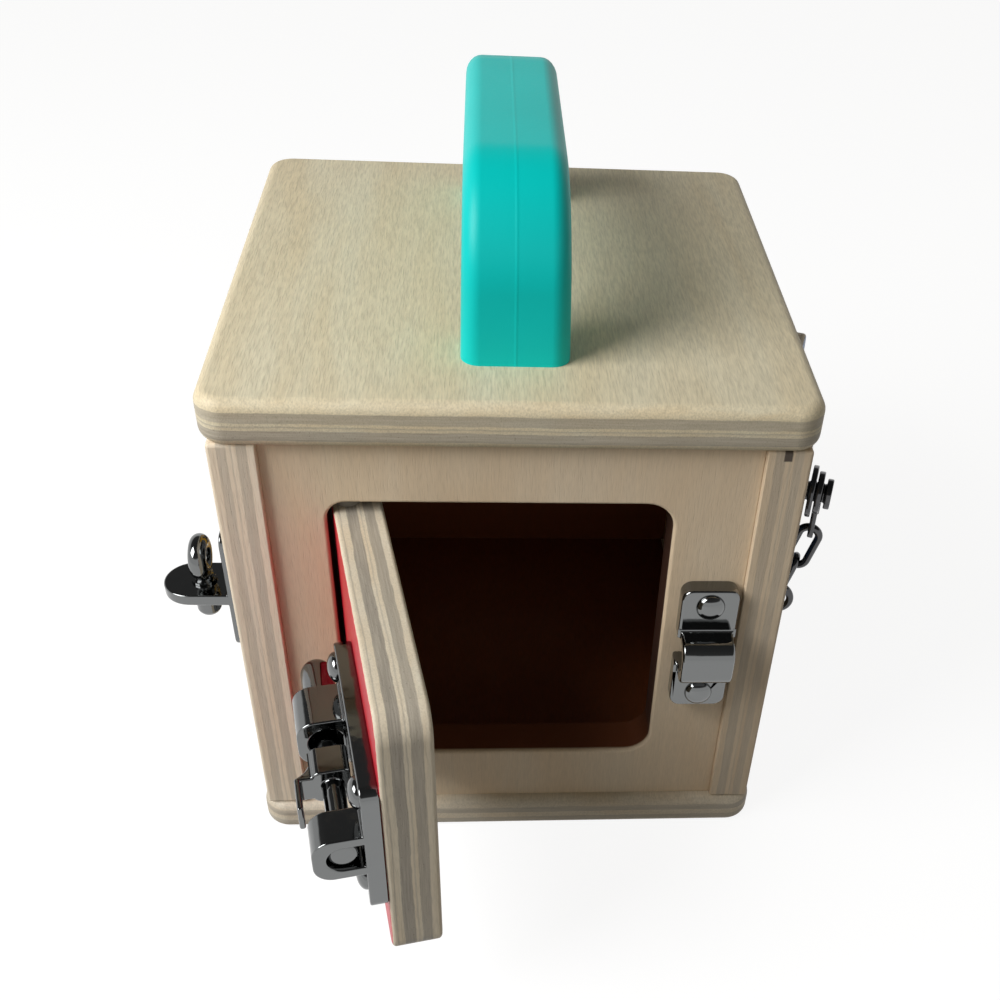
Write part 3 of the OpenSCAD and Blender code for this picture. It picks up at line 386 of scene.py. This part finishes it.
def plywood(name, place, turn, plies, tone, seed, paint=None, inside=None, flecks=1.0, void=None,
            reveal=False):
    """Lacquered plywood as a solid: plies through the board's thickness, grain along its own y.

    The board's frame has its middle at place and z towards its outer face; a door's x starts at its
    pivot. Inside is (side, half width, half length) of the face that looks into the box, which gets painted
    shade. Void is a point at which the core has a small hollow, drawn as a dark patch of painted shade. With
    reveal the doorway's own faces get painted shade too.
    """
    finish = Finish(name)
    point = finish.point(place, turn)
    axes = finish.add("SeparateXYZ", {"Vector": point}).outputs
    thickness = sum(ply[0] for ply in plies)
    dark_ply = wavy_plies(finish, point, axes[2], plies, seed)

    figure = finish.noise(point, (0.05, 0.010, 0.25), seed, detail=3.0, distortion=0.8)
    streak = finish.noise(point, (0.9, 0.03, 0.9), seed + 3, detail=3.0, roughness=0.6)
    vessel = finish.noise(point, (2.6, 0.26, 2.6), seed + 7, detail=2.0)
    pale_fleck = finish.spread(vessel, 0.50, 0.68)
    brown_fleck = finish.spread(vessel, 0.50, 0.30)
    edge_line = finish.noise(point, (0.09, 0.09, 2.6), seed + 11, detail=4.0, roughness=0.6)
    pore = finish.noise(point, (1.9, 1.9, 1.9), seed + 13, detail=1.0)
    open_pore = finish.spread(pore, 0.64, 0.74)

    warm = tuple(channel * share for channel, share in zip(tone, (0.97, 0.91, 0.84)))
    pale = finish.mix(finish.spread(figure, 0.35, 0.65), tone, warm)
    light = finish.spread(streak, 0.25, 0.75, 0.95, 1.05)
    light = finish.math("ADD", light, finish.math("MULTIPLY", pale_fleck, 0.13 * flecks))
    light = finish.math("SUBTRACT", light, finish.math("MULTIPLY", brown_fleck, 0.15 * flecks))
    pale = finish.shade(pale, light)

    shadow = finish.spread(edge_line, 0.3, 0.7, 0.74, 1.3)
    shadow = finish.math("SUBTRACT", shadow, finish.math("MULTIPLY", open_pore, 0.35))
    colour = finish.mix(dark_ply, pale, finish.shade(DARK_PLY_TONE, shadow))
    # Painted shade of a small hollow in the core
    if void:
        colour = finish.mix(core_hollow(finish, axes, void), colour, VOID_PAINTED_SHADE)
    # Painted shade on the doorway's own faces
    if reveal:
        colour = doorway_reveal(finish, axes, thickness, colour)
    # Painted shade on the faces that look into the box
    if inside:
        inside_shade_mask = facing_inside(finish, axes, thickness, inside)
        colour = finish.mix(inside_shade_mask, colour, finish.shade(INSIDE_PAINTED_SHADE, light))

    roughness = finish.spread(streak, 0.2, 0.8, 0.50, 0.62)
    if paint:
        coat = paint_coat(finish, point, axes, thickness, seed)
        colour = finish.mix(coat, colour, finish.shade(paint, finish.spread(streak, 0.2, 0.8, 0.93, 1.07)))
        roughness = finish.math("SUBTRACT", roughness, finish.math("MULTIPLY", coat, 0.16))

    relief = finish.math("MULTIPLY", finish.math("SUBTRACT", streak, brown_fleck), 0.5)
    relief = finish.math("SUBTRACT", relief, finish.math("MULTIPLY", open_pore, dark_ply))
    finish.bump(relief, 0.10, 0.5)
    finish.set(Base_Color=colour, Roughness=roughness)
    return finish.material


def chrome_casting(name, colour):
    """Bright plated die casting, very slightly wavy."""
    finish = Finish(name)
    point = finish.point()
    wave = finish.noise(point, (0.22, 0.22, 0.22), 2.0, detail=1.0)
    haze = finish.noise(point, (0.6, 0.6, 0.6), 5.0, detail=3.0)
    finish.bump(wave, 0.22, 0.4)
    finish.set(Base_Color=colour, Metallic=1.0, Roughness=finish.spread(haze, 0.3, 0.7, 0.06, 0.12))
    return finish.material


def plain_steel():
    """Drawn steel of the pins and hidden screws."""
    finish = Finish("plain_steel")
    point = finish.point()
    drawn = finish.noise(point, (4.0, 4.0, 0.15), 3.0)
    finish.bump(drawn, 0.02, 0.5)
    finish.set(Base_Color=STEEL, Metallic=1.0, Roughness=finish.spread(drawn, 0.3, 0.7, 0.28, 0.42))
    return finish.material


def moulded_plastic(name, colour, roughness=0.42, seed=1.0, parting=0.0):
    """Satin moulded plastic with a fine grain; parting is the height in mm of a mould line at x = 0."""
    finish = Finish(name)
    point = finish.point()
    cloud = finish.noise(point, (0.03, 0.03, 0.03), seed, detail=2.0)
    grain = finish.noise(point, (2.6, 2.6, 2.6), seed + 5, detail=2.0)
    height = finish.math("MULTIPLY", grain, 0.03)
    if parting:
        axes = finish.add("SeparateXYZ", {"Vector": point})
        off_line = finish.math("ABSOLUTE", axes.outputs[0])
        ridge = finish.spread(off_line, PARTING_FOOT, PARTING_CREST, 0.0, parting)
        height = finish.math("ADD", height, ridge)
    finish.bump(height, 1.0, 0.6)
    finish.set(
        Base_Color=finish.shade(colour, finish.spread(cloud, 0.3, 0.7, 0.96, 1.04)),
        Roughness=finish.spread(grain, 0.3, 0.7, roughness - 0.04, roughness + 0.04),
        Specular_IOR_Level=0.2,
    )
    return finish.material


def dowel_wood():
    """Raw beech of the glued dowels, grain upright."""
    finish = Finish("dowel_wood")
    point = finish.point()
    streak = finish.noise(point, (1.2, 1.2, 0.08), 4.0, detail=3.0)
    finish.bump(streak, 0.08, 0.5)
    finish.set(Base_Color=finish.shade(BEECH, finish.spread(streak, 0.2, 0.8, 0.85, 1.12)), Roughness=0.7)
    return finish.material


def link_piece(name, mesh):
    """A new piece of the scene from a mesh."""
    piece = bpy.data.objects.new(name, mesh)
    bpy.context.scene.collection.objects.link(piece)
    return piece


def settle(piece):
    """Turns a piece's modifiers into plain mesh."""
    bpy.context.view_layer.update()
    graph = bpy.context.evaluated_depsgraph_get()
    finished = piece.evaluated_get(graph)
    mesh = bpy.data.meshes.new_from_object(finished, preserve_all_data_layers=True, depsgraph=graph)
    piece.modifiers.clear()
    piece.data = mesh
    return piece


def smooth(piece):
    """Round faces shade smooth, sharp edges stay crisp and large faces stay flat."""
    mesh = piece.data
    mesh.polygons.foreach_set("use_smooth", [True] * len(mesh.polygons))
    mesh.set_sharp_from_angle(angle=math.radians(SMOOTH_ANGLE))
    weighted = piece.modifiers.new("flat_faces", "WEIGHTED_NORMAL")
    weighted.keep_sharp = True
    return settle(piece)


def stands_for(piece, node):
    """The piece moves with its node's body and replaces the node, which is hidden."""
    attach(piece, BODY_OF[node])
    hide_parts(node)
    return piece


def dress(node, material, ease=0.0):
    """A CAD node with its corners merged, its arrises eased by so many mm, and a finish."""
    shape = bmesh.new()
    shape.from_mesh(NODES[node].data)
    bmesh.ops.remove_doubles(shape, verts=shape.verts, dist=MERGE_DISTANCE * MM)
    bmesh.ops.dissolve_limit(shape, angle_limit=math.radians(FLAT_ANGLE), verts=shape.verts,
                             edges=shape.edges)
    mesh = bpy.data.meshes.new(node + "_finish")
    shape.to_mesh(mesh)
    shape.free()
    mesh.materials.append(material)
    piece = link_piece(node + "_finish", mesh)
    if ease:
        bevel = piece.modifiers.new("eased", "BEVEL")
        bevel.width = ease * MM
        bevel.segments = EASE_SEGMENTS
        bevel.limit_method = "ANGLE"
        bevel.angle_limit = math.radians(CORNER_ANGLE)
        bevel.use_clamp_overlap = False
        settle(piece)
    smooth(piece)
    return stands_for(piece, node)


def board_turn(side, is_door):
    """Turn of a board's own frame: x right seen from outside, y up, z outwards; a door rests ajar by
    as much as its joint can swing it back."""
    swing = math.radians(-JOINTS[side + "_door_swing"]["range_deg"][0]) if is_door else 0.0
    return math.pi / 2, 0.0, -math.pi / 2 * SIDES.index(side) - swing


def middle(node):
    """Middle of a node's box."""
    low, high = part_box(node)
    return (low + high) / 2


def rounded_loop(left, right, low, high, left_radius, right_radius, steps=8):
    """Corner points of an upright rectangle with rounded corners, anticlockwise from the lower left."""
    corners = (
        (left + left_radius, low + left_radius, left_radius, 180),
        (right - right_radius, low + right_radius, right_radius, 270),
        (right - right_radius, high - right_radius, right_radius, 0),
        (left + left_radius, high - left_radius, left_radius, 90),
    )
    points = []
    for across, up, radius, start in corners:
        for step in range(steps + 1):
            angle = math.radians(start + 90 * step / steps)
            points.append((across + radius * math.cos(angle), up + radius * math.sin(angle)))
    return points


def arris(half_thickness, front_ease, back_ease, steps=4):
    """Offset from the rim and depth of each ring round a board's rim, from the front face to the back."""
    angles = [math.pi / 2 * step / steps for step in range(steps + 1)]
    rings = []
    for angle in angles:
        fall = front_ease * (1 - math.cos(angle))
        rings.append((front_ease * (1 - math.sin(angle)), half_thickness - fall))
    for angle in reversed(angles):
        rise = back_ease * (1 - math.cos(angle))
        rings.append((back_ease * (1 - math.sin(angle)), rise - half_thickness))
    return rings


def ringed_board(name, place, turn, rings, closed):
    """A board as rings of points, each joined to the next; closed joins the last ring to the first,
    otherwise both ends are capped."""
    count = len(rings[0])
    upright = Euler(turn).to_matrix()
    points = [Vector(place) + upright @ (Vector(point) * MM) for ring in rings for point in ring]
    faces = []
    for ring in range(len(rings) if closed else len(rings) - 1):
        following = (ring + 1) % len(rings)
        for index in range(count):
            beside = (index + 1) % count
            faces.append((ring * count + index, ring * count + beside,
                          following * count + beside, following * count + index))
    if not closed:
        faces.append(tuple(range(count)))
        faces.append(tuple(range((len(rings) - 1) * count, len(rings) * count)))
    mesh = bpy.data.meshes.new(name)
    mesh.from_pydata(points, [], faces)
    shape = bmesh.new()
    shape.from_mesh(mesh)
    bmesh.ops.recalc_face_normals(shape, faces=shape.faces)
    shape.to_mesh(mesh)
    shape.free()
    return link_piece(name, mesh)


def wall_board(side):
    """A wall with its doorway, as rings round the rim and back round the doorway."""
    node = side + "_wall"
    low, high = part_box(node)
    size = (high - low) / MM
    is_panel = side in PANELS
    half_width, half_thickness = (size.x / 2, size.y / 2) if is_panel else (size.y / 2, size.x / 2)
    rim_ease = PANEL_RIM_EASE if is_panel else SIDE_RIM_EASE
    half_height = size.z / 2
    box_half = BOX_HALF_WIDTH if is_panel else half_width
    rings = []
    for offset, depth in arris(half_thickness, rim_ease, INNER_EASE):
        radius = rim_ease + CORNER_SPARE - offset
        loop = rounded_loop(offset - half_width, half_width - offset,
                            offset - half_height, half_height - offset, radius, radius)
        rings.append([(x, y, depth) for x, y in loop])
    for offset, depth in arris(half_thickness, DOORWAY_EASE, INNER_EASE)[::-1]:
        loop = rounded_loop(HINGE_STILE - box_half - offset, box_half - LATCH_STILE + offset,
                            SILL - half_height - offset, SILL + DOORWAY_HEIGHT - half_height + offset,
                            HINGE_RADIUS + offset, LATCH_RADIUS + offset)
        rings.append([(x, y, depth) for x, y in loop])
    return ringed_board(node + "_finish", middle(node), board_turn(side, False), rings, closed=True)


def round_hinge_edge(door, place, upright, steps=8):
    """Rounds a door's outer hinge corner about its pivot, so that it clears the wall as it swings."""
    shape = bmesh.new()
    shape.from_mesh(door.data)
    for step in range(steps):
        across = -PIVOT_IN * math.sin(math.pi / 2 * step / steps)
        cut = place + upright @ Vector((across * MM, 0.0, 0.0))
        whole = shape.verts[:] + shape.edges[:] + shape.faces[:]
        bmesh.ops.bisect_plane(shape, geom=whole, dist=0.001 * MM, plane_co=cut, plane_no=upright.col[0])
    for vertex in shape.verts:
        point = upright.inverted() @ (vertex.co - place) / MM
        if point.x < 0:
            rise = math.sqrt(max(PIVOT_IN ** 2 - point.x ** 2, 0.0))
            point.z = min(point.z, DOOR_THICKNESS / 2 - PIVOT_IN + rise)
            vertex.co = place + upright @ point * MM
    shape.to_mesh(door.data)
    shape.free()


def door_board(side, place):
    """A door, its own frame's x counted from the pivot."""
    box_half = BOX_HALF_WIDTH if side in PANELS else BOX_HALF_DEPTH
    width = 2 * box_half - HINGE_STILE - LATCH_STILE - DOOR_PLAY
    rings = []
    for offset, depth in arris(DOOR_THICKNESS / 2, DOOR_EASE, DOOR_EASE):
        loop = rounded_loop(offset - PIVOT_IN, width - PIVOT_IN - offset, offset - DOOR_HEIGHT / 2,
                            DOOR_HEIGHT / 2 - offset, DOOR_HINGE_RADIUS - offset, LATCH_RADIUS - offset)
        rings.append([(x, y, depth) for x, y in loop])
    door = ringed_board(side + "_door_finish", place, board_turn(side, True), rings, closed=False)
    round_hinge_edge(door, Vector(place), Euler(board_turn(side, True)).to_matrix())
    return door


def carcass():
    """Plates and walls."""
    flat = (0.0, 0.0, 0.0)
    top = plywood("top_plywood", tuple(middle("top_plate")), flat, PLATE_PLIES, PLATE_TONE, 1.0,
                  inside=(-1, PLATE_INSIDE, PLATE_INSIDE))
    base = plywood("base_plywood", tuple(middle("base_plate")), flat, BASE_PLIES, EDGE_TONE, 2.0,
                   inside=(1, PLATE_INSIDE, PLATE_INSIDE))
    dress("top_plate", top)
    dress("base_plate", base)
    for number, side in enumerate(SIDES):
        is_panel = side in PANELS
        finish = plywood(side + "_wall_plywood", tuple(middle(side + "_wall")), board_turn(side, False),
                         PANEL_PLIES if is_panel else SIDE_PLIES,
                         LEFT_WALL_PAINTED_LIGHT if side == "left" else WALL_TONE, 5.0 + 9 * number,
                         inside=(-1, PANEL_INSIDE if is_panel else SIDE_INSIDE, INSIDE_HEIGHT),
                         flecks=0.4, reveal=True, void=CORE_VOID if side == "right" else None)
        wall = wall_board(side)
        wall.data.materials.append(finish)
        smooth(wall)
        stands_for(wall, side + "_wall")


def doors():
    """The four doors, each painted on its outer face."""
    for number, side in enumerate(SIDES):
        turn = board_turn(side, True)
        outwards = Euler(turn).to_matrix() @ Vector((0.0, 0.0, 1.0))
        pivot = Vector(JOINTS[side + "_door_swing"]["pos_m"])
        place = tuple(pivot - outwards * (DOOR_THICKNESS / 2 - PIVOT_IN) * MM)
        board = plywood(side + "_door_plywood", place, turn, DOOR_PLIES, EDGE_TONE, 50.0 + 9 * number,
                        paint=DOOR_PAINT[side], flecks=0.6)
        door = door_board(side, place)
        door.data.materials.append(board)
        smooth(door)
        stands_for(door, side + "_door")


def screw_tree():
    """Geometry Nodes: a dome-headed screw on every point of a mesh."""
    tree = bpy.data.node_groups.new("dome_screws", "GeometryNodeTree")
    tree.interface.new_socket("Points", in_out="INPUT", socket_type="NodeSocketGeometry")
    for name in ("Head Radius", "Head Height", "Shank Radius", "Shank Length"):
        tree.interface.new_socket(name, in_out="INPUT", socket_type="NodeSocketFloat")
    tree.interface.new_socket("Turn", in_out="INPUT", socket_type="NodeSocketVector")
    tree.interface.new_socket("Finish", in_out="INPUT", socket_type="NodeSocketMaterial")
    tree.interface.new_socket("Screws", in_out="OUTPUT", socket_type="NodeSocketGeometry")
    inputs = tree.nodes.new("NodeGroupInput").outputs
    output = tree.nodes.new("NodeGroupOutput")

    def add(kind, links):
        node = tree.nodes.new(kind)
        for name, socket in links.items():
            tree.links.new(socket, node.inputs[name])
        return node

    head_size = add("ShaderNodeCombineXYZ", {"X": inputs["Head Radius"], "Y": inputs["Head Radius"],
                                             "Z": inputs["Head Height"]})
    sphere = add("GeometryNodeMeshUVSphere", {})
    sphere.inputs["Segments"].default_value = HEAD_SEGMENTS
    sphere.inputs["Rings"].default_value = HEAD_RINGS
    sphere.inputs["Radius"].default_value = 1.0
    point = add("GeometryNodeInputPosition", {})
    place = add("ShaderNodeSeparateXYZ", {"Vector": point.outputs["Position"]})
    above_seat = add("ShaderNodeMath", {0: place.outputs["Z"]})
    above_seat.operation = "MAXIMUM"
    above_seat.inputs[1].default_value = 0.0
    domed = add("ShaderNodeCombineXYZ", {"X": place.outputs["X"], "Y": place.outputs["Y"],
                                         "Z": above_seat.outputs[0]})
    dome = add("GeometryNodeSetPosition", {"Geometry": sphere.outputs["Mesh"],
                                           "Position": domed.outputs["Vector"]})
    head = add("GeometryNodeTransform", {"Geometry": dome.outputs["Geometry"],
                                         "Scale": head_size.outputs["Vector"]})
    shank = add("GeometryNodeMeshCylinder", {"Radius": inputs["Shank Radius"],
                                             "Depth": inputs["Shank Length"]})
    half = add("ShaderNodeMath", {0: inputs["Shank Length"]})
    half.operation = "MULTIPLY"
    half.inputs[1].default_value = -0.5
    down = add("ShaderNodeCombineXYZ", {"Z": half.outputs[0]})
    shank = add("GeometryNodeTransform", {"Geometry": shank.outputs["Mesh"],
                                          "Translation": down.outputs["Vector"]})
    screw = tree.nodes.new("GeometryNodeJoinGeometry")
    tree.links.new(head.outputs["Geometry"], screw.inputs[0])
    tree.links.new(shank.outputs["Geometry"], screw.inputs[0])
    turn = add("FunctionNodeEulerToRotation", {0: inputs["Turn"]})
    placed = add("GeometryNodeInstanceOnPoints", {"Points": inputs["Points"], "Instance": screw.outputs[0],
                                                  "Rotation": turn.outputs[0]})
    plain = add("GeometryNodeRealizeInstances", {"Geometry": placed.outputs["Instances"]})
    finished = add("GeometryNodeSetMaterial", {"Geometry": plain.outputs["Geometry"],
                                               "Material": inputs["Finish"]})
    tree.links.new(finished.outputs["Geometry"], output.inputs["Screws"])
    return tree


def loose_parts(mesh):
    """The vertex places of each separate solid in a mesh."""
    shape = bmesh.new()
    shape.from_mesh(mesh)
    bmesh.ops.remove_doubles(shape, verts=shape.verts, dist=MERGE_DISTANCE * MM)
    left = set(shape.verts)
    parts = []
    while left:
        found = {left.pop()}
        edge_of_found = list(found)
        while edge_of_found:
            vertex = edge_of_found.pop()
            near = {edge.other_vert(vertex) for edge in vertex.link_edges} - found
            found |= near
            edge_of_found.extend(near)
        left -= found
        parts.append([vertex.co.copy() for vertex in found])
    shape.free()
    return parts


def set_screws(node, turn, tree, material):
    """Screws in place of a set of CAD screws, one point for each, their heads along the turned z."""
    upright = Euler(turn).to_matrix()
    seats = []
    for part in loose_parts(NODES[node].data):
        turned = [upright.inverted() @ place for place in part]
        low = Vector([min(place[axis] for place in turned) for axis in range(3)])
        high = Vector([max(place[axis] for place in turned) for axis in range(3)])
        seat = (low + high) / 2
        seat.z = high.z - SCREW_HEAD_HEIGHT * MM
        seats.append(upright @ seat)
    # The screws of a set are alike, so the last one gives their size
    shank_radius = max(abs(place.x - seat.x) for place in turned if place.z < seat.z - MM)
    mesh = bpy.data.meshes.new(node + "_points")
    mesh.from_pydata(seats, [], [])
    piece = link_piece(node + "_finish", mesh)
    modifier = piece.modifiers.new("screws", "NODES")
    modifier.node_group = tree
    values = {
        "Head Radius": (high.x - low.x) / 2,
        "Head Height": SCREW_HEAD_HEIGHT * MM,
        "Shank Radius": shank_radius,
        "Shank Length": seat.z - low.z,
        "Turn": turn,
        "Finish": material,
    }
    for socket in tree.interface.items_tree:
        if socket.name in values:
            modifier[socket.identifier] = values[socket.name]
    smooth(settle(piece))
    return stands_for(piece, node)


def hardware():
    """Plated latches and their screws."""
    chrome = chrome_casting("chrome_casting", CHROME)
    chain_painted_shade_chrome = chrome_casting("chain_chrome", CHAIN_PAINTED_SHADE_CHROME)
    for node, ease in HARDWARE.items():
        dress(node, chain_painted_shade_chrome if node in CHAIN else chrome, ease=ease)
    tree = screw_tree()
    for node, board in SCREWS.items():
        set_screws(node, board_turn(*board), tree, chrome)


def hidden_fittings():
    """Pins, washers, dowels and handle screws keep their own solids and get a finish."""
    steel = plain_steel()
    nylon = moulded_plastic("nylon", NYLON_PAINTED_SHADE, roughness=0.5, seed=9.0)
    beech = dowel_wood()
    finishes = {"handle_screws": steel, "base_dowels": beech, "top_dowels": beech}
    for side in SIDES:
        finishes[side + "_door_pins"] = steel
        # The washers' nylon is darkened with painted shade
        finishes[side + "_door_washers"] = nylon
    for node, material in finishes.items():
        mesh = NODES[node].data
        mesh.materials.clear()
        mesh.materials.append(material)


def handle():
    """The moulded handle with its mould line."""
    teal = moulded_plastic("teal_plastic", TEAL, parting=PARTING_HEIGHT)
    dress("handle", teal)


def floor():
    """A large pale floor, white to the camera, that keeps the object's shadow."""
    mesh = bpy.data.meshes.new("floor")
    signs = ((-1, -1), (1, -1), (1, 1), (-1, 1))
    corners = [(x * FLOOR_HALF, y * FLOOR_HALF, 0.0) for x, y in signs]
    mesh.from_pydata(corners, [], [(0, 1, 2, 3)])
    finish = Finish("floor")
    paths = finish.add("LightPath")
    seen = finish.math("MAXIMUM", paths.outputs["Is Camera Ray"], paths.outputs["Is Glossy Ray"])
    seen = finish.math("MAXIMUM", seen, paths.outputs["Is Transmission Ray"])
    finish.set(
        Base_Color=FLOOR,
        Roughness=0.9,
        Specular_IOR_Level=0.0,
        Emission_Color=(1.0, 1.0, 1.0),
        Emission_Strength=finish.math("MULTIPLY", seen, FLOOR_GLOW),
    )
    mesh.materials.append(finish.material)
    link_piece("floor", mesh)


def window_light():
    """One wide window from the left and front."""
    lamp = bpy.data.lights.new("window", "AREA")
    lamp.shape = "SQUARE"
    lamp.size = WINDOW_SIZE
    lamp.energy = WINDOW_POWER
    holder = bpy.data.objects.new("window", lamp)
    bpy.context.scene.collection.objects.link(holder)
    holder.location = Vector(WINDOW_PLACE)
    holder.rotation_euler = (Vector(WINDOW_AIM) - holder.location).to_track_quat("-Z", "Y").to_euler()


def room_light():
    """A dim room for the object, and a white background for the camera and the metal."""
    world = bpy.data.worlds.new("room")
    bpy.context.scene.world = world
    world.use_nodes = True
    tree = world.node_tree
    background = tree.nodes["Background"]
    coordinate = tree.nodes.new("ShaderNodeTexCoord")
    axes = tree.nodes.new("ShaderNodeSeparateXYZ")
    tree.links.new(coordinate.outputs["Generated"], axes.inputs["Vector"])
    paths = tree.nodes.new("ShaderNodeLightPath")
    seen = paths.outputs["Is Camera Ray"]
    for kind in ("Is Glossy Ray", "Is Transmission Ray"):
        either = tree.nodes.new("ShaderNodeMath")
        either.operation = "MAXIMUM"
        tree.links.new(seen, either.inputs[0])
        tree.links.new(paths.outputs[kind], either.inputs[1])
        seen = either.outputs[0]
    mix = tree.nodes.new("ShaderNodeMix")
    mix.data_type = "RGBA"
    tree.links.new(seen, mix.inputs[0])
    for socket, levels, tint in ((mix.inputs[6], ROOM_LIGHT, ROOM_TINT),
                                 (mix.inputs[7], BACKGROUND, BACKGROUND_TINT)):
        ramp = tree.nodes.new("ShaderNodeValToRGB")
        stops = ramp.color_ramp.elements
        for number, (height, level) in enumerate(levels):
            stop = stops[number] if number < 2 else stops.new(height)
            stop.position = height
            stop.color = (level * tint[0], level * tint[1], level * tint[2], 1.0)
        tree.links.new(axes.outputs["Z"], ramp.inputs["Fac"])
        tree.links.new(ramp.outputs["Color"], socket)
    tree.links.new(mix.outputs[2], background.inputs["Color"])
    background.inputs["Strength"].default_value = 1.0


def camera():
    """The photograph's view."""
    heading, dip, roll = (math.radians(angle) for angle in (CAMERA_HEADING, CAMERA_DIP, CAMERA_ROLL))
    forward = Vector((math.sin(heading) * math.cos(dip), math.cos(heading) * math.cos(dip), -math.sin(dip)))
    level = Vector((math.cos(heading), -math.sin(heading), 0.0))
    upright = level.cross(forward)
    right = level * math.cos(roll) + upright * math.sin(roll)
    up = right.cross(forward)
    lens = bpy.data.cameras.new("camera")
    lens.sensor_width = SENSOR
    lens.lens = FOCAL_LENGTH / IMAGE * SENSOR
    lens.shift_x = (IMAGE / 2 - PRINCIPAL_POINT[0]) / IMAGE
    lens.shift_y = (PRINCIPAL_POINT[1] - IMAGE / 2) / IMAGE
    lens.clip_start = 0.01
    lens.clip_end = 50.0
    holder = bpy.data.objects.new("camera", lens)
    bpy.context.scene.collection.objects.link(holder)
    turn = Matrix((right, up, -forward)).transposed().to_4x4()
    holder.matrix_world = Matrix.Translation(Vector(CAMERA_PLACE) * MM) @ turn
    bpy.context.scene.camera = holder


camera()
carcass()
doors()
hardware()
handle()
hidden_fittings()
floor()
window_light()
room_light()
bpy.context.scene.view_settings.view_transform = "Standard"
